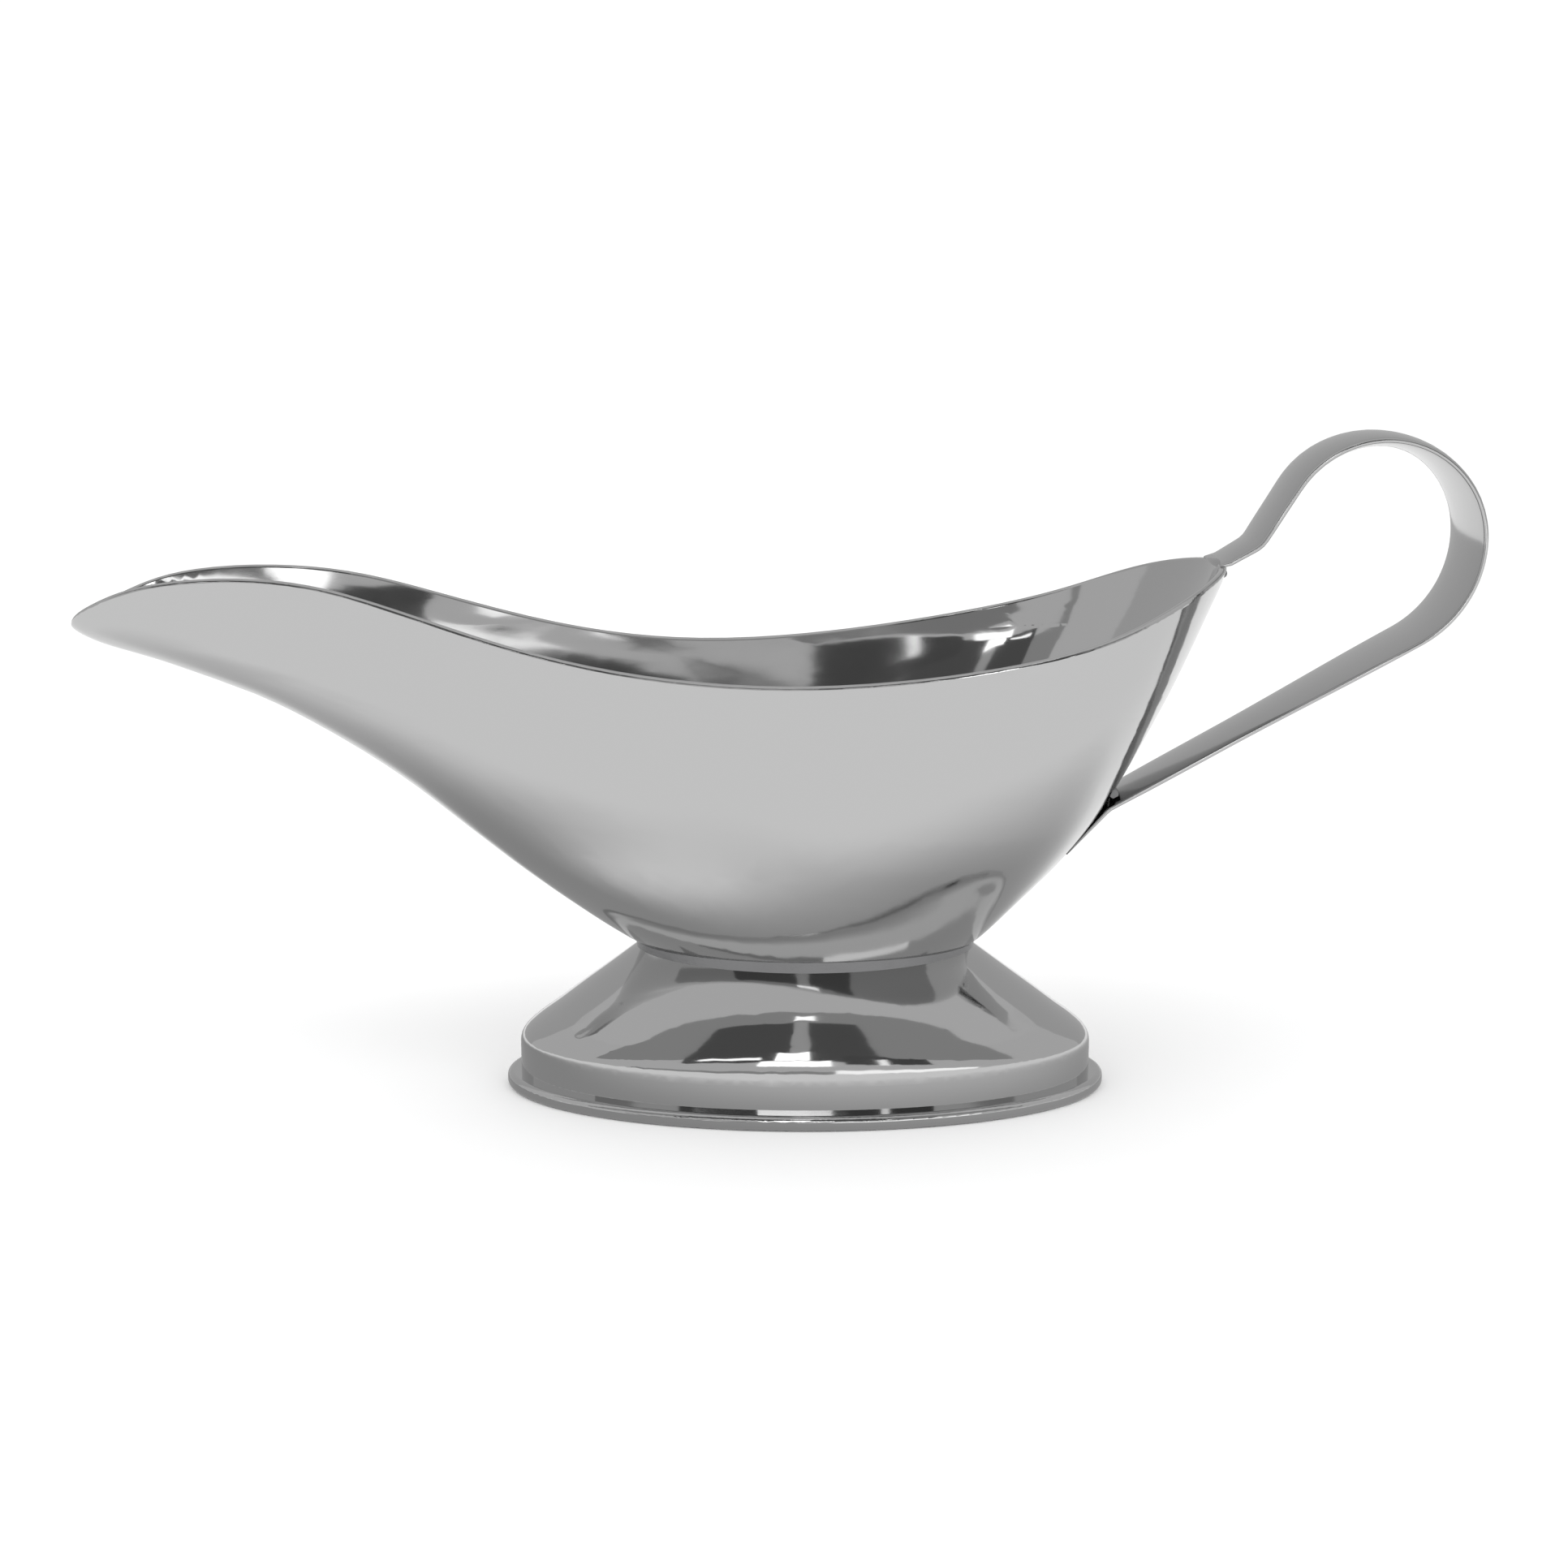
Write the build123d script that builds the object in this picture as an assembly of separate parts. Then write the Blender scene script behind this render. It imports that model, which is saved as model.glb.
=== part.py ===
from build123d import *
import math
import os

# Pedestal gravy boat in polished stainless steel, millimetres, +Z up.
# Origin: middle of the oval foot, on the table plane.
# +X points to the handle, -X to the pouring lip. The boat is symmetric about
# the plane y = 0.

# ---------------------------------------------------------------- dimensions
SHEET = 1.2              # thickness of the pressed bowl
RIM_ROUND = 0.5          # polished rounding on both sides of the bowl edge

FOOT_SHEET = 1.1         # thickness of the pressed foot
FLANGE = (48.2, 26.9)    # half length, half width of the ring on the table
FLANGE_THICK = 2.4
FLANGE_ROUND = 0.9
# Outside of the foot above the flange: height, half length, half width. An
# upright riser, a round shoulder, a straight slope endways and a domed front.
FOOT_SHAPE = (
    (6.5, 46.0, 24.7),
    (7.5, 45.98, 24.68),
    (8.5, 45.72, 24.58),
    (9.5, 45.05, 24.4),
    (10.5, 43.98, 24.13),
    (12.5, 41.27, 23.35),
    (15.0, 37.9, 22.1),
    (18.0, 33.84, 20.0),
    (20.5, 30.46, 17.75),
    (23.5, 26.4, 14.9),
    (27.5, 21.0, 11.2),
)
NECK_Z = 22.8            # crease between the foot and the bowl
NECK_BEAD = (27.1, 16.15)  # outside of the brazing metal in that crease

STRAP_WIDTH = 20.0       # at the loop
STRAP_NARROW = 15.0      # at the lower joint
STRAP_THICK = 2.5        # at the middle of the crowned strap
STRAP_EDGE = 1.3         # at its edges
TAPER_START = 20.0       # distances up the strap from the lower joint, between
TAPER_END = 60.0         # which it widens
WELD = 0.7               # radius of the weld beads across the strap
WELD_LENGTH = 12.0

# Side view of the bowl: the lowest line of its outside, from lip to heel. The
# curved bottom is pressed flat at BOTTOM_Z.
KEEL = (
    (-115.4, 74.0),
    (-111.6, 72.2),
    (-104.6, 70.0),
    (-95.8, 67.0),
    (-85.4, 63.0),
    (-75.8, 58.0),
    (-64.6, 51.0),
    (-55.5, 44.0),
    (-46.6, 37.0),
    (-36.7, 30.0),
    (-26.3, 23.5),
    (-13.0, 17.8),
    (0.0, 15.8),
    (13.0, 17.8),
    (26.7, 23.5),
    (33.7, 30.0),
    (40.4, 37.0),
    (45.8, 44.0),
    (50.0, 51.0),
    (53.6, 58.0),
    (58.0, 67.0),
    (63.8, 80.0),
    (65.9, 85.0),
)
BOTTOM_Z = 16.6
HEIGHTS = (
    BOTTOM_Z, 17.4, 18.8, 20.8, 23.5, 27, 31, 35.5, 40, 45, 50,
    55, 59.5, 63.5, 67, 70, 72.5, 75, 78, 82, 86, 90,
)

STEPS = 14               # spline pieces in one half outline
FLARE = 0.5              # how much the wall leans out at the rim
FULLNESS = 0.45          # lower makes the bottom of each section fuller
OVAL_BELOW = 24.0        # below this the bowl is a plain oval
SPOUT_ABOVE = 44.0       # above this it has its full spout shape

# Rim, half width of the plan at x. The nose and the back are rounded off.
RIM_PLAN = (
    (-115.6, 0.0),
    (-114.6, 4.6),
    (-111.0, 8.6),
    (-104.0, 11.2),
    (-90.0, 11.8),
    (-75.0, 13.2),
    (-60.0, 16.6),
    (-40.0, 20.7),
    (-20.0, 25.7),
    (0.0, 32.3),
    (15.0, 35.7),
    (30.0, 37.0),
    (43.0, 36.2),
    (53.0, 31.2),
    (60.0, 22.4),
    (64.4, 10.5),
    (65.8, 0.0),
)

# Rim, height of the edge at x: low in the middle, a crest on the spout, a
# drooping lip and a rising heel where the handle starts.
RIM_SIDE = (
    (-117.0, 71.5),
    (-115.5, 73.4),
    (-114.0, 75.8),
    (-110.5, 78.3),
    (-104.0, 81.0),
    (-95.0, 82.6),
    (-86.0, 82.9),
    (-75.0, 81.9),
    (-60.0, 78.0),
    (-45.0, 73.6),
    (-28.0, 70.2),
    (-8.0, 69.0),
    (10.0, 70.1),
    (28.0, 72.7),
    (45.0, 77.0),
    (57.0, 81.9),
    (66.0, 85.0),
    (74.0, 87.0),
)

# Middle line of the strap in the plane y = 0.
RIM_POINT = (62.0, 82.9)     # inside the rim, cut off by the bowl
KINK = (69.9, 87.5)
KINK_ROUND = 4.0
LEG_ANGLE = 58.0             # slope of the leg above the kink
LOOP_CENTRE = (88.4, 88.4)
LOOP_RADIUS = 15.3           # finger loop, upper arc
UNDER_RADIUS = 18.0          # finger loop, lower arc
BACK_ANGLE = 29.4            # slope of the straight run back to the bowl
JOINT = (47.5, 46.2)         # corner of the strap on the rear wall
JOINT_ROUND = 4.0
TAB_END = (39.9, 37.9)       # the tab sinks into the wall and so thins out


# ------------------------------------------------------------------- helpers
def smooth(points, x):
    """Height of a smooth curve through the points, at x (cubic pieces)."""
    last = len(points) - 1
    if x <= points[0][0]:
        return points[0][1]
    if x >= points[last][0]:
        return points[last][1]
    i = 0
    while points[i + 1][0] < x:
        i += 1

    def slope(j):
        a = points[max(j - 1, 0)]
        b = points[min(j + 1, last)]
        return (b[1] - a[1]) / (b[0] - a[0])

    (x0, y0), (x1, y1) = points[i], points[i + 1]
    run = x1 - x0
    t = (x - x0) / run
    return (
        y0 * (1 + 2 * t) * (1 - t) ** 2
        + y1 * t ** 2 * (3 - 2 * t)
        + slope(i) * run * t * (1 - t) ** 2
        - slope(i + 1) * run * t ** 2 * (1 - t)
    )


def ease(t):
    """Smooth step from 0 to 1 as t goes from 0 to 1."""
    t = min(max(t, 0), 1)
    return t ** 2 * (3 - 2 * t)


def inset(points, gap):
    """The same curve moved by gap to its left, measured along its travel."""
    moved = []
    for i, (x, y) in enumerate(points):
        before = points[max(i - 1, 0)]
        after = points[min(i + 1, len(points) - 1)]
        run = after[0] - before[0]
        rise = after[1] - before[1]
        length = math.hypot(run, rise)
        moved.append((x - gap * rise / length, y + gap * run / length))
    return moved


def rim_plan(gap):
    """Plan of the rim moved inwards by gap, as x and half width squared."""
    mirrored = [(x, -y) for x, y in RIM_PLAN]
    moved = inset(mirrored, gap)[1:-1]
    nose = (RIM_PLAN[0][0] + gap, 0.0)
    heel = (RIM_PLAN[-1][0] - gap, 0.0)
    return [(x, y * y) for x, y in [nose] + moved + [heel]]


def where(curve, z, low, high):
    """The x between low and high where the curve is at height z."""
    for _ in range(40):
        middle = (low + high) / 2
        if (smooth(curve, middle) > z) == (smooth(curve, low) > z):
            low = middle
        else:
            high = middle
    return low


def outline(z, gap):
    """Half outline (y > 0) at height z of the bowl surface lying gap inside.

    In front every cross-section of the bowl hangs from the rim like half an
    oval, leaning out a little at the top. Behind the middle the outline turns into a smaller plan of the
    rim, so the rear wall is round. Near the bottom it is a plain ellipse.
    """
    keel = inset(KEEL, gap)
    plan = rim_plan(gap)
    front = plan[0][0]
    heel = plan[-1][0]
    back = heel
    if z < keel[0][1]:
        front = max(front, where(keel, z, keel[0][0], 0))
    if z < keel[-1][1]:
        back = min(back, where(keel, z, 0, keel[-1][0]))

    keel_low = smooth(keel, 0)

    def section(x):
        rim = smooth(RIM_SIDE, x)
        depth = min(max(rim - z, 0) / (rim - smooth(keel, x)), 1)
        return (1 - FLARE * depth - (1 - FLARE) * depth ** 2) ** FULLNESS

    low = 1 - ease((z - OVAL_BELOW) / (SPOUT_ABOVE - OVAL_BELOW))
    side = []
    for i in range(1, STEPS):
        x = front + (back - front) * (1 - math.cos(math.pi * i / STEPS)) / 2
        y = math.sqrt(smooth(plan, x)) * section(x)
        if x > 0:
            small_plan = math.sqrt(smooth(plan, x * heel / back))
            ellipse = math.sqrt(smooth(plan, 0) * (1 - (x / back) ** 2))
            up = ease((z - keel_low) / (smooth(RIM_SIDE, 0) - keel_low))
            behind = section(0) * (up * small_plan + (1 - up) * ellipse)
            share = ease(x / (0.6 * back))
            y = (1 - share) * y + share * behind
        end = back if x > 0 else front
        oval_y = section(0) * math.sqrt(smooth(plan, 0) * (1 - (x / end) ** 2))
        side.append((x, (1 - low) * y + low * oval_y))
    curve = Edge.make_spline(
        [Vector(x, y) for x, y in [(front, 0.0)] + side + [(back, 0.0)]],
        tangents=[Vector(0, side[0][1] * STEPS), Vector(0, -side[-1][1] * STEPS)],
        parameters=[i / STEPS for i in range(STEPS + 1)],
        scale=False,
    )
    return Pos(0, 0, z) * make_face([curve, Line((back, 0), (front, 0))])


def oval(size, z):
    """Filled ellipse at height z; size is half length and half width."""
    return Pos(0, 0, z) * Ellipse(*size)


def grown(size, amount):
    """The same oval size, larger all round by amount."""
    return (size[0] + amount, size[1] + amount)


def crowned(width, middle, edge):
    """Section of a strap, thicker at the middle than at its round edges."""
    across = width / 2
    flat = across - edge / 2
    up = edge / 2
    return make_face([
        ThreePointArc((-flat, -up), (0, -middle / 2), (flat, -up)),
        ThreePointArc((flat, -up), (across, 0), (flat, up)),
        ThreePointArc((flat, up), (0, middle / 2), (-flat, up)),
        ThreePointArc((-flat, up), (-across, 0), (-flat, -up)),
    ])


def bead(edge, radius):
    """Round bead of metal laid along the edge."""
    start = Plane(edge @ 0, z_dir=edge % 0)
    return sweep(start * Circle(radius), path=edge)


# ---------------------------------------------------------------------- bowl
half_outside = loft([outline(z, 0) for z in HEIGHTS])
half_inside = loft([outline(z + SHEET, SHEET) for z in HEIGHTS])
left = RIM_SIDE[0]
right = RIM_SIDE[-1]
over_rim = [Spline(*RIM_SIDE), Polyline(right, (right[0], 99), (left[0], 99), left)]
above_rim = Rot(90, 0, 0) * extrude(make_face(over_rim), 50, both=True)
half_bowl = half_outside - above_rim - half_inside
bowl = half_bowl + mirror(half_bowl, about=Plane.XZ)
envelope = half_outside + mirror(half_outside, about=Plane.XZ)
rim_edges = [e for e in bowl.edges() if e.length > 20 and e.center().Z > 66]
bowl = fillet(rim_edges, RIM_ROUND)

# ---------------------------------------------------------------------- foot
riser = FOOT_SHAPE[0]
riser_z = riser[0]
dome = loft([oval((long, wide), z) for z, long, wide in FOOT_SHAPE])
hat = extrude(oval(riser[1:], 0), riser_z) + dome

drop = 0.6 * FOOT_SHEET
inner_dome = loft([oval(grown((long, wide), -FOOT_SHEET), z - drop) for z, long, wide in FOOT_SHAPE])
hollow = extrude(oval(grown(riser[1:], -FOOT_SHEET), 0), riser_z - drop) + inner_dome
top_z = FOOT_SHAPE[-1][0] - drop
hollow = hollow + extrude(oval(grown(FOOT_SHAPE[-1][1:], -FOOT_SHEET), top_z), 5)

flange = extrude(oval(FLANGE, 0), FLANGE_THICK)
flange = fillet(flange.edges(), FLANGE_ROUND)
foot = hat + flange - hollow - envelope

# Ring of brazing metal filling the crease between the foot and the bowl.
neck_bead = extrude(oval(NECK_BEAD, NECK_Z - 2), 4) - hat - envelope

# -------------------------------------------------------------------- handle
leg = math.radians(LEG_ANGLE)
slope = math.radians(BACK_ANGLE)
loop_start = (
    LOOP_CENTRE[0] - LOOP_RADIUS * math.sin(leg),
    LOOP_CENTRE[1] + LOOP_RADIUS * math.cos(leg),
)
outermost = (LOOP_CENTRE[0] + LOOP_RADIUS, LOOP_CENTRE[1])
loop_end = (
    outermost[0] - UNDER_RADIUS + UNDER_RADIUS * math.sin(slope),
    outermost[1] - UNDER_RADIUS * math.cos(slope),
)
with BuildLine(Plane.XZ) as middle_line:
    FilletPolyline(RIM_POINT, KINK, loop_start, radius=KINK_ROUND)
    RadiusArc(loop_start, outermost, LOOP_RADIUS)
    RadiusArc(outermost, loop_end, UNDER_RADIUS)
    FilletPolyline(loop_end, JOINT, TAB_END, radius=JOINT_ROUND)
path = middle_line.wires()[0]
start = Plane(path @ 0, x_dir=(0, 1, 0), z_dir=path % 0)
strap = sweep(start * crowned(STRAP_WIDTH, STRAP_THICK, STRAP_EDGE), path=path)
taper = [
    (-20, STRAP_NARROW / 2),
    (TAPER_START, STRAP_NARROW / 2),
    (TAPER_END, STRAP_WIDTH / 2 + 0.1),
    (TAPER_END + 40, STRAP_WIDTH / 2 + 0.1),
]
outline_of_strap = Polyline(*taper, *[(s, -half) for s, half in reversed(taper)], close=True)
run_plan = Plane(
    (JOINT[0], 0, JOINT[1]),
    x_dir=(math.cos(slope), 0, math.sin(slope)),
    z_dir=(-math.sin(slope), 0, math.cos(slope)),
)
strap = strap & extrude(run_plan * make_face(outline_of_strap), 90, both=True)
handle = strap - envelope
half_weld = WELD_LENGTH / 2
top_line = ThreePointArc((65.0, -half_weld, 82.8), (65.35, 0, 83.0), (65.0, half_weld, 82.8))
low_line = ThreePointArc((48.4, -half_weld, 48.5), (48.6, 0, 48.6), (48.4, half_weld, 48.5))
top_weld = bead(top_line, WELD) - envelope - handle
low_weld = bead(low_line, WELD) - envelope - handle

os.makedirs("parts", exist_ok=True)
pieces = {
    "bowl": bowl,
    "foot": foot,
    "neck_bead": neck_bead,
    "handle": handle,
    "top_weld": top_weld,
    "low_weld": low_weld,
}
for name, solid in pieces.items():
    export_step(solid, f"parts/{name}.step")
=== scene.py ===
# %% [markdown]
# # A footed gravy boat in polished stainless steel
# The boat is a deep pressed bowl with a long pouring lip, standing on a hollow
# oval foot, with a strap bent into a high loop as its handle. This lesson
# loads the CAD solids as a fixed frame, gives every piece its finish,
# remodels the strap and one weld, and sets up a white studio round the boat.

# %% Load the frame
import math

import bmesh
import bpy
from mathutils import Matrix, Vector


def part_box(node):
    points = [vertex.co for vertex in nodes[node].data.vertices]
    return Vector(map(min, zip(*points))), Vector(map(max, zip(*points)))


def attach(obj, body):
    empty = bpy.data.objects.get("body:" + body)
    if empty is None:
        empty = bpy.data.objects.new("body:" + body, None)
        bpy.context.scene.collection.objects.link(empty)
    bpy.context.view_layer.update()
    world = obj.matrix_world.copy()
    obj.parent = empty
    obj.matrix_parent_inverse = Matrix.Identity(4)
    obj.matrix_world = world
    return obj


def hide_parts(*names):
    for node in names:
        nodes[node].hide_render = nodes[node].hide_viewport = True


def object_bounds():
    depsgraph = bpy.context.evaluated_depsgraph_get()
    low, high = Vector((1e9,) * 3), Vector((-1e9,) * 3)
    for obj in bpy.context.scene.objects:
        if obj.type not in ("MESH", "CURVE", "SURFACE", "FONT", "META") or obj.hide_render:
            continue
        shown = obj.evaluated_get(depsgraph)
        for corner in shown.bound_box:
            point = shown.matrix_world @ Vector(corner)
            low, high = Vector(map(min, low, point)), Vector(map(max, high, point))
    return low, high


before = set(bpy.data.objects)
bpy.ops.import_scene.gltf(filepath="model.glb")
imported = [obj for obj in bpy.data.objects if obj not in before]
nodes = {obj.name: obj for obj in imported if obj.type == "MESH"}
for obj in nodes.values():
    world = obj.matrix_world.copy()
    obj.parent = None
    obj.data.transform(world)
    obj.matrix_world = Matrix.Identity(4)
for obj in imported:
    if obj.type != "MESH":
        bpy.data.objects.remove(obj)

cad_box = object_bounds()
MM = 0.001
print("nodes:", sorted(nodes))
print("size in mm:", [round((b - a) / MM, 1) for a, b in zip(*cad_box)])


# %% [markdown]
# ## Colours and nodes
# Paint and metal colours are written as the hex values of a colour picker.
# Shaders work in linear light, so one function turns them. A second small
# function adds any node with its settings and its links, which keeps a
# material readable as a list.

# %% Two helpers for materials
def linear(hex_colour):
    """Linear colour for a hex value such as #C8C8C8."""
    parts = [int(hex_colour[i:i + 2], 16) / 255 for i in (1, 3, 5)]
    return [c / 12.92 if c <= 0.04045 else ((c + 0.055) / 1.055) ** 2.4 for c in parts] + [1]


def add(tree, kind, settings=None, **inputs):
    """Adds a node. settings are its own properties; inputs are values or links."""
    node = tree.nodes.new(kind)
    for key, value in (settings or {}).items():
        setattr(node, key, value)
    for key, value in inputs.items():
        socket = node.inputs[int(key[1:])] if key[1:].isdigit() else node.inputs[key.replace("_", " ")]
        if isinstance(value, bpy.types.NodeSocket):
            tree.links.new(value, socket)
        else:
            socket.default_value = value
    return node


def per_metre(size_mm):
    """Scale of a noise whose features are about size_mm across."""
    return 1 / (size_mm * MM)


# %% [markdown]
# ## Polished stainless steel
# The sheet is pressed, then buffed to a mirror. What the eye gets is almost
# all reflection. Three things keep it real: the sheet is never quite flat, so
# straight reflections wander a little; the buffing wheel leaves very fine
# lines; and handling leaves duller patches, which is a change in roughness
# and not in colour. Real buffing lines are a few hundredths of a millimetre
# apart. They are drawn up to 0.9 mm apart, and on the polished pieces they are
# so shallow that they are barely seen.

# %% Steel material
SMEAR_MM = 24                # size of the duller patches
SMEAR_RANGE = (0.35, 0.75)   # part of the noise that goes from clean to dull


def steel(name, colour, dull, dull_more, buff_mm, buff_stretch, buff_depth, wave_mm, wave_depth):
    """Steel of one finish: roughness from dull to dull_more, depths in mm."""
    material = bpy.data.materials.new(name)
    material.use_nodes = True
    tree = material.node_tree
    tree.nodes.clear()
    place = add(tree, "ShaderNodeTexCoord").outputs["Object"]
    smear = add(
        tree, "ShaderNodeTexNoise", Vector=place,
        Scale=per_metre(SMEAR_MM), Detail=4.0, Roughness=0.6,
    )
    rough = add(
        tree, "ShaderNodeMapRange", Value=smear.outputs["Fac"],
        From_Min=SMEAR_RANGE[0], From_Max=SMEAR_RANGE[1], To_Min=dull, To_Max=dull_more,
    )
    along = add(tree, "ShaderNodeMapping", Vector=place, Scale=buff_stretch)
    buffing = add(
        tree, "ShaderNodeTexNoise", Vector=along.outputs["Vector"],
        Scale=per_metre(buff_mm), Detail=2.0, Roughness=0.5,
    )
    wave = add(tree, "ShaderNodeTexNoise", Vector=place, Scale=per_metre(wave_mm), Detail=0.0)
    waved = add(
        tree, "ShaderNodeBump", Height=wave.outputs["Fac"],
        Strength=1.0, Distance=wave_depth * MM,
    )
    grained = add(
        tree, "ShaderNodeBump", Height=buffing.outputs["Fac"],
        Strength=1.0, Distance=buff_depth * MM, Normal=waved.outputs["Normal"],
    )
    shader = add(
        tree, "ShaderNodeBsdfPrincipled", Base_Color=linear(colour), Metallic=1.0,
        Roughness=rough.outputs["Result"], Normal=grained.outputs["Normal"],
    )
    add(tree, "ShaderNodeOutputMaterial", Surface=shader.outputs["BSDF"])
    print("material:", name)
    return material


# %% [markdown]
# ## Four finishes
# All four are the same stainless steel, told apart by how far it was polished.
# One node group could serve all, but a function keeps each number in sight
# and lets each finish have its own grain.

# %% Finishes
# Pressed sheet, mirror-polished: a clear reflection with slightly soft edges.
bowl_finish = steel(
    "steel_mirror_polished", "#C4C4C4", 0.07, 0.13,
    buff_mm=0.9, buff_stretch=(0.15, 1, 1), buff_depth=0.0008, wave_mm=22, wave_depth=0.010,
)
# The pressed sheet of the foot, mirror-polished: sharper than on the bowl.
foot_finish = steel(
    "steel_mirror_polished_foot", "#C4C4C4", 0.04, 0.09,
    buff_mm=0.9, buff_stretch=(0.15, 1, 1), buff_depth=0.0004, wave_mm=18, wave_depth=0.010,
)
# Bent strap, polished less finely than the sheet: greyer, with blurred reflections.
handle_finish = steel(
    "steel_polished_strap", "#C0C0C0", 0.10, 0.18,
    buff_mm=0.6, buff_stretch=(1, 0.15, 1), buff_depth=0.001, wave_mm=14, wave_depth=0.01,
)
# Weld and brazing metal, wiped but not polished: dull, grey and uneven.
weld_finish = steel(
    "weld_metal_wiped", "#8A8A8B", 0.35, 0.5,
    buff_mm=0.7, buff_stretch=(1, 1, 1), buff_depth=0.05, wave_mm=3, wave_depth=0.1,
)

# %% [markdown]
# ## Finishes on the solids
# The bowl, the foot, the neck bead and the lower weld keep the solids of the
# frame, whose curved faces reflect cleanly, and only get a finish.

# %% Assign the finishes
finishes = {
    "bowl": bowl_finish,
    "foot": foot_finish,
    "handle": handle_finish,
    "neck_bead": weld_finish,
    "top_weld": weld_finish,
    "low_weld": weld_finish,
}
for name, finish in finishes.items():
    mesh = nodes[name].data
    for i in range(len(mesh.materials)):
        mesh.materials[i] = finish
    print(name, "->", finish.name)

# %% [markdown]
# ## The handle
# The real handle is a flat strap, crowned on both faces so that it is thicker
# in the middle than at its round edges, and a little wider round the finger
# loop than at its lower end. It could be a curve with a bevel profile, but a
# profile can't change its width and its thickness apart. Here one ring of
# points is extruded again and again along the middle line of the strap, and
# each new ring is put in its place and given its own width and thickness.

# %% Middle line of the strap, (x, z) in mm
STRAP_RIM = (64.6, 84.4)       # where the strap leaves the rim
STRAP_KINK = (69.9, 87.5)      # first bend
LOOP_CENTRE = (88.4, 88.4)
LOOP_RADIUS = 15.3             # upper part of the finger loop
UNDER_RADIUS = 18.0            # lower part of the finger loop
LEG = math.radians(58.0)       # slope of the leg above the first bend
RUN = math.radians(29.4)       # slope of the straight run back to the bowl
STRAP_JOINT = (47.5, 46.2)     # bend where the strap lands on the wall
TAB_END = (40.4, 38.4)         # end of the tab, sunk in the wall
CORNER_ROUND = 4.0
SPACING = 0.9                  # between rings
ARC_STEPS = 24
CORNER_STEPS = 8


def arc(centre, radius, start, end):
    """Points on an arc in the plane y = 0, angles in radians from +X to +Z."""
    turns = [start + (end - start) * i / ARC_STEPS for i in range(ARC_STEPS + 1)]
    return [(centre[0] + radius * math.cos(t), centre[1] + radius * math.sin(t)) for t in turns]


def rounded(before, corner, after, radius):
    """Points of the arc that rounds one corner."""
    u = Vector(before) - Vector(corner)
    w = Vector(after) - Vector(corner)
    u.normalize()
    w.normalize()
    half = u.angle(w) / 2
    reach = radius / math.tan(half)
    middle = Vector(corner) + (u + w).normalized() * radius / math.sin(half)
    start = Vector(corner) + u * reach - middle
    end = Vector(corner) + w * reach - middle
    turns = [start.slerp(end, i / CORNER_STEPS).normalized() for i in range(CORNER_STEPS + 1)]
    return [tuple(middle + turn * radius) for turn in turns]


leg_top = (
    LOOP_CENTRE[0] - LOOP_RADIUS * math.sin(LEG),
    LOOP_CENTRE[1] + LOOP_RADIUS * math.cos(LEG),
)
outermost = (LOOP_CENTRE[0] + LOOP_RADIUS, LOOP_CENTRE[1])
under_centre = (outermost[0] - UNDER_RADIUS, outermost[1])
run_top = (
    under_centre[0] + UNDER_RADIUS * math.sin(RUN),
    under_centre[1] - UNDER_RADIUS * math.cos(RUN),
)
corners = [STRAP_RIM]
corners += rounded(STRAP_RIM, STRAP_KINK, leg_top, CORNER_ROUND)
corners += arc(LOOP_CENTRE, LOOP_RADIUS, math.pi / 2 + LEG, 0)
corners += arc(under_centre, UNDER_RADIUS, 0, RUN - math.pi / 2)[1:]
corners += rounded(run_top, STRAP_JOINT, TAB_END, CORNER_ROUND)
corners += [TAB_END]


def evenly(points, spacing):
    """The same line with its points spaced evenly."""
    points = [Vector(p) for p in points]
    lengths = [(b - a).length for a, b in zip(points, points[1:])]
    total = sum(lengths)
    count = round(total / spacing)
    found = []
    for i in range(count + 1):
        left = total * i / count
        for a, b, length in zip(points, points[1:], lengths):
            if left <= length:
                break
            left -= length
        found.append(a.lerp(b, min(left / length, 1)))
    return found, total


middle_line, strap_length = evenly(corners, SPACING)
print("strap length in mm:", round(strap_length, 1), "rings:", len(middle_line))


# %% [markdown]
# ## Shaping the strap
# Width and thickness follow the middle line: about 16 mm wide at the rim,
# 20 mm round the loop and 15 mm at the lower joint, where the strap thins out
# into a tab that lies in the wall of the bowl. The narrowing towards the rim
# is a guess: the solid in the frame stays 20 mm wide there.

# %% Section of the strap
def between(x, points):
    """Value at x on a line through the (x, value) points, eased at each."""
    for (x0, v0), (x1, v1) in zip(points, points[1:]):
        if x <= x1:
            t = min(max((x - x0) / (x1 - x0), 0), 1)
            return v0 + (v1 - v0) * t * t * (3 - 2 * t)
    return points[-1][1]


# (share of the strap's length, size in mm)
WIDTHS = [(0, 15.5), (0.08, 17), (0.2, 18.8), (0.4, 20), (0.55, 19.6), (0.78, 15.4), (1, 14.6)]
THICKS = [(0, 2.0), (0.06, 2.4), (0.86, 2.4), (0.925, 1.9), (1, 0.7)]
EDGE_SHARE = 0.5             # thickness at the edges, as a share of the middle
ACROSS_POWER = 0.75          # below 1 the ring's points crowd to the edges
ROUND_POWER = 0.45           # below 1 the section is fuller than an ellipse
AROUND = 40                  # points in a ring


def strap_ring(part):
    """Across and outward place of each point of the crowned section, in mm."""
    half = between(part, WIDTHS) / 2
    thick = between(part, THICKS) / 2
    ring = []
    for i in range(AROUND):
        turn = 2 * math.pi * i / AROUND
        c, s = math.cos(turn), math.sin(turn)
        across = half * math.copysign(abs(c) ** ACROSS_POWER, c)
        crown = 1 - (1 - EDGE_SHARE) * (across / half) ** 2
        ring.append((across, thick * crown * math.copysign(abs(s) ** ROUND_POWER, s)))
    return ring


SHARP_FROM = math.radians(50)


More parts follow.
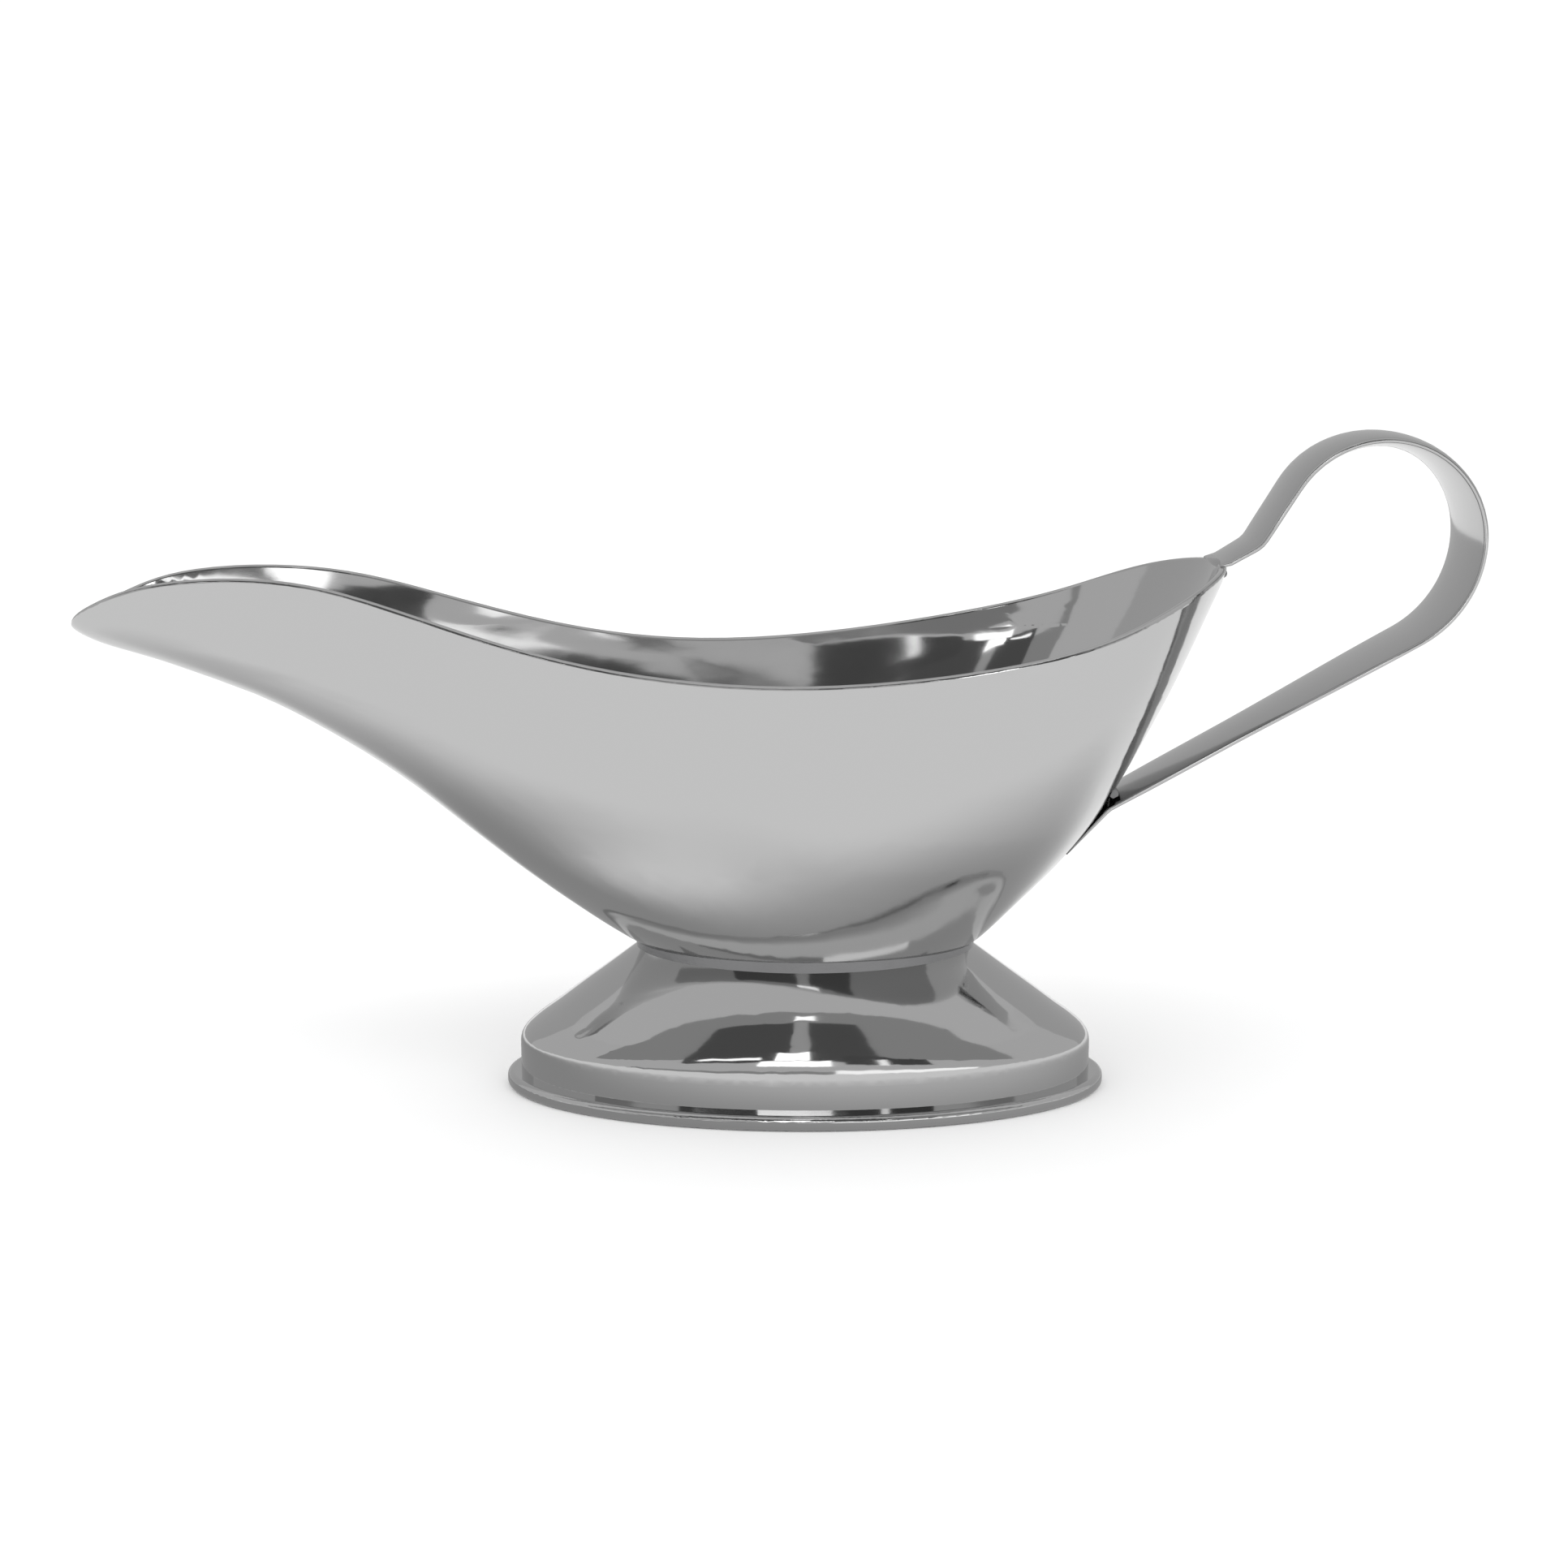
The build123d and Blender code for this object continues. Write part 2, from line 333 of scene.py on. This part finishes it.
def extruded(name, rings):
    """A circle extruded ring by ring; each ring gets its own points, in metres."""
    bpy.ops.object.select_all(action="DESELECT")
    bpy.ops.mesh.primitive_circle_add(vertices=AROUND, radius=10 * MM)
    made = bpy.context.object
    made.name = name
    bpy.ops.object.mode_set(mode="EDIT")
    edit = bmesh.from_edit_mesh(made.data)
    place_in_ring = {v.index: v.index for v in edit.verts}
    for k, ring in enumerate(rings):
        if k:
            bpy.ops.mesh.extrude_region_move()
            edit = bmesh.from_edit_mesh(made.data)
        edit.verts.index_update()
        chosen = [v for v in edit.verts if v.select]
        for v in chosen:
            if k:
                older = [e.other_vert(v) for e in v.link_edges if not e.other_vert(v).select]
                place_in_ring[v.index] = place_in_ring[older[0].index]
            v.co = ring[place_in_ring[v.index]]
        bmesh.update_edit_mesh(made.data)
    bpy.ops.mesh.select_all(action="DESELECT")
    bpy.ops.mesh.select_mode(type="EDGE")
    bpy.ops.mesh.select_non_manifold()
    bpy.ops.mesh.edge_face_add()
    bpy.ops.mesh.select_all(action="SELECT")
    bpy.ops.mesh.normals_make_consistent(inside=False)
    bpy.ops.object.mode_set(mode="OBJECT")
    bpy.ops.object.shade_smooth_by_angle(angle=SHARP_FROM)
    print(name, "faces:", len(made.data.polygons))
    return made


def wall(y, z):
    """X of the outside of the rear wall of the bowl, all in metres."""
    behind = Vector((2 * cad_box[1][0], y, z))
    _, place, _, _ = nodes["bowl"].ray_cast(behind, Vector((-1, 0, 0)))
    return place.x


# %% [markdown]
# ## The strap, ring by ring
# The first ring follows the curve of the wall just under the rim and lies
# half a millimetre inside it, so no gap shows where the two are joined.

# %% Strap
RIM_LEVEL = 82.5 * MM
INTO_WALL = 0.5 * MM
last = len(middle_line) - 1
strap_rings = []
for k, point in enumerate(middle_line):
    ahead = middle_line[min(k + 1, last)] - middle_line[max(k - 1, 0)]
    ahead.normalize()
    outward = Vector((-ahead.y, ahead.x))
    ring = []
    for across, out in strap_ring(k / last):
        flat = (point + outward * out) * MM
        x = wall(across * MM, RIM_LEVEL) - INTO_WALL if k == 0 else flat.x
        ring.append(Vector((x, across * MM, flat.y)))
    strap_rings.append(ring)

strap = extruded("strap_handle", strap_rings)
strap.data.materials.append(handle_finish)
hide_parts("handle")
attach(strap, "root")

# %% [markdown]
# ## The weld under the rim
# The strap is welded to the wall under its first bend. The weld is a small
# bead that follows the curve of the wall and runs out to nothing at both
# ends. It is made as the strap is, from rings across it that swell and shrink.

# %% Weld bead
WELD_STEPS = 24
WELD_HALF = 6.0 * MM         # half its length
WELD_TIP = 0.03              # thickness left at its tips, as a share
weld_low, weld_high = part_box("top_weld")
weld_z = (weld_low[2] + weld_high[2]) / 2
weld_thick = (weld_high[2] - weld_low[2]) / 2
weld_rings = []
for k in range(WELD_STEPS + 1):
    along = -math.cos(math.pi * k / WELD_STEPS)
    swell = weld_thick * max(math.sqrt(1 - along * along), WELD_TIP)
    y = along * WELD_HALF
    ring = []
    for i in range(AROUND):
        turn = 2 * math.pi * i / AROUND
        x = wall(y, weld_z) + swell * math.cos(turn)
        ring.append(Vector((x, y, weld_z + swell * math.sin(turn))))
    weld_rings.append(ring)

weld_bead = extruded("weld_bead", weld_rings)
weld_bead.data.materials.append(weld_finish)
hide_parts("top_weld")
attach(weld_bead, "root")
print("weld at z in mm:", round(weld_z / MM, 1), "thickness:", round(2 * weld_thick / MM, 2))

# %% [markdown]
# ## The studio
# Mirror metal shows its surroundings, so the studio is half of the look. The
# boat stands on a white table under plain soft light, in front of a plain
# white background. Plain white all round would leave mirror metal without
# form, so it also stands in a box of grey cloth that only the metal sees.

# %% Table and background
bpy.ops.object.select_all(action="DESELECT")


def glow(name, radiance):
    """Plain light-giving cloth of one grey."""
    material = bpy.data.materials.new(name)
    material.use_nodes = True
    tree = material.node_tree
    tree.nodes.clear()
    light = add(tree, "ShaderNodeEmission", Color=(1, 1, 1, 1), Strength=radiance)
    add(tree, "ShaderNodeOutputMaterial", Surface=light.outputs["Emission"])
    return material


bpy.ops.mesh.primitive_plane_add(size=8)
floor = bpy.context.object
floor.name = "table"
paper = bpy.data.materials.new("white_paper")
paper.use_nodes = True
paper_shader = paper.node_tree.nodes["Principled BSDF"]
paper_shader.inputs["Base Color"].default_value = linear("#FAFAFA")
paper_shader.inputs["Roughness"].default_value = 0.9
paper_shader.inputs["Specular IOR Level"].default_value = 0.0
floor.data.materials.append(paper)

world = bpy.data.worlds.new("white")
bpy.context.scene.world = world
world.use_nodes = True
background = world.node_tree.nodes["Background"]
background.inputs["Color"].default_value = (1, 1, 1, 1)
background.inputs["Strength"].default_value = 1.08
print("table and background")

# %% [markdown]
# ## The cloth box
# Four walls and a ceiling, each a flat sheet that gives light of one grey.
# The upper part of the front is darker, as a room is behind a camera.

# %% Cloth box, in metres
FRONT = -0.8
BACK = 0.8
SIDE = 1.5
TOP = 1.3
FRONT_SPLIT = 0.36           # height where the darker part of the front starts


def only_in_the_metal(sheet):
    """Hides a sheet from the camera and from the light that falls on the table."""
    sheet.visible_camera = False
    sheet.visible_diffuse = False
    sheet.visible_shadow = False


def cloth(name, low, high, radiance):
    """Flat rectangle between two opposite corners, seen only in the metal."""
    low = Vector(low)
    high = Vector(high)
    size = high - low
    thin = min(range(3), key=lambda i: size[i])
    turn = [(0, math.pi / 2, 0), (math.pi / 2, 0, 0), (0, 0, 0)][thin]
    bpy.ops.mesh.primitive_plane_add(size=1, location=(low + high) / 2, rotation=turn)
    made = bpy.context.object
    made.name = name
    made.scale = [(size.z, size.y, 1), (size.x, size.z, 1), (size.x, size.y, 1)][thin]
    made.data.materials.append(glow(name + "_cloth", radiance))
    only_in_the_metal(made)


cloth("back", (-SIDE, BACK, 0), (SIDE, BACK, TOP), 0.50)
cloth("left", (-SIDE, FRONT, 0), (-SIDE, BACK, TOP), 0.62)
cloth("right", (SIDE, FRONT, 0), (SIDE, BACK, TOP), 0.62)
cloth("ceiling", (-SIDE, FRONT, TOP), (SIDE, BACK, TOP), 0.64)
cloth("front_low", (-SIDE, FRONT, 0), (SIDE, FRONT, FRONT_SPLIT), 0.62)
cloth("front_high", (-SIDE, FRONT, FRONT_SPLIT), (SIDE, FRONT, TOP), 0.34)

# %% [markdown]
# ## The opening and its lamps
# A dark opening in the front, with lamps in it, gives the metal its windows
# and highlights. This goes past plain soft light, and it is arranged for the
# view from the camera below: from other sides it only stands for a room.
# Without this cell the boat is shown in the plain box.

# %% Opening in the front and the lamps seen through it
OPENING = FRONT + 0.01
LAMPS = FRONT + 0.02         # nearer than the opening, so lamps cover it
# name, depth, x from and to, z from and to, radiance
for name, y, x0, x1, z0, z1, radiance in (
    ("opening", OPENING, -0.48, 0.28, 0.24, 0.90, 0.10),
    ("opening_low", OPENING, 0.14, 0.50, 0.19, 0.36, 0.08),
    ("lamp_left", LAMPS, -0.40, -0.15, 0.29, 0.33, 2.0),
    ("lamp_right", LAMPS, -0.15, 0.09, 0.15, 0.26, 2.2),
    ("lamp_middle", LAMPS, -0.10, 0.02, 0.27, 0.40, 3.0),
    ("lamp_glow", LAMPS, -0.05, 0.02, 0.40, 0.90, 0.45),
    ("lamp_high", LAMPS, -0.06, 0.06, 0.95, 1.12, 2.0),
    ("lamp_slot", LAMPS, 0.26, 0.29, 0.17, 0.30, 1.6),
    ("table_edge", LAMPS, -0.8, 0.1, 0.0, 0.05, 0.35),
    ("table_light", LAMPS, 0.1, 0.8, 0.0, 0.07, 1.6),
):
    cloth(name, (x0, y, z0), (x1, y, z1), radiance)
    print("cloth:", name)

# %% [markdown]
# ## The table as the metal sees it
# The table right round the foot is in the boat's own shade, which the
# underside of the bowl and the spout reflect. It is a flat sheet, darker
# under the boat and lighter further out, and like the cloth it is only seen
# in the metal.

# %% Shade on the table
SHADE_CENTRE = (-20 * MM, 12 * MM)
SHADE_HALF = (150 * MM, 85 * MM)
SHADE_FULL = 0.4             # share of its radius that is fully shaded
SHADE_RADIANCE = 0.38
TABLE_RADIANCE = 0.96
SHEET_RADIUS = 14            # the whole sheet, in shade radii
SHEET_HEIGHT = 0.2 * MM      # above the table, so that the two don't mix

bpy.ops.mesh.primitive_circle_add(
    vertices=64, radius=SHEET_RADIUS, fill_type="NGON", location=(*SHADE_CENTRE, SHEET_HEIGHT),
)
shade = bpy.context.object
shade.name = "shade"
shade.scale = (*SHADE_HALF, 1)
shade_cloth = glow("shade_cloth", TABLE_RADIANCE)
shade_tree = shade_cloth.node_tree
spot = add(shade_tree, "ShaderNodeTexCoord").outputs["Object"]
radius = add(shade_tree, "ShaderNodeVectorMath", {"operation": "LENGTH"}, _0=spot)
fade = add(
    shade_tree, "ShaderNodeMapRange", {"interpolation_type": "SMOOTHSTEP"},
    Value=radius.outputs["Value"], From_Min=SHADE_FULL, From_Max=1.0,
    To_Min=SHADE_RADIANCE, To_Max=TABLE_RADIANCE,
)
shade_light = shade_tree.nodes["Emission"]
shade_tree.links.new(fade.outputs["Result"], shade_light.inputs["Strength"])
shade.data.materials.append(shade_cloth)
only_in_the_metal(shade)
print("shade on the table")

# %% [markdown]
# ## Soft lights
# Two wide lamps above the front corners give the table its soft shadow. The
# metal doesn't see them, because a square lamp in a mirror looks like one.

# %% Soft lights
LAMP_SIZE = 0.6
LAMP_POWER = 1.5
for name, place, turn in (
    ("key", (-0.5, -0.5, 0.9), (45, 0, -45)),
    ("fill", (0.6, -0.4, 0.8), (45, 0, 55)),
):
    bpy.ops.object.light_add(type="AREA", location=place, rotation=[math.radians(a) for a in turn])
    lamp = bpy.context.object
    lamp.name = name
    lamp.data.size = LAMP_SIZE
    lamp.data.energy = LAMP_POWER
    lamp.visible_glossy = False
    print("soft light:", name)

# %% [markdown]
# ## The camera
# It looks at the boat from the front and 10.5 degrees from above, from 0.39 m
# away, which is near enough for the far rim to look smaller than the near one.

# %% Camera
CAMERA_PLACE = (-0.0034, -0.390, 0.1213)
CAMERA_TILT = math.radians(79.5)
LENS_MM = 57.2
SENSOR_MM = 36

bpy.ops.object.camera_add(location=CAMERA_PLACE, rotation=(CAMERA_TILT, 0, 0))
camera = bpy.context.object
camera.data.sensor_width = SENSOR_MM
camera.data.lens = LENS_MM
camera.data.clip_start = 0.01
bpy.context.scene.camera = camera
bpy.context.scene.view_settings.view_transform = "Standard"
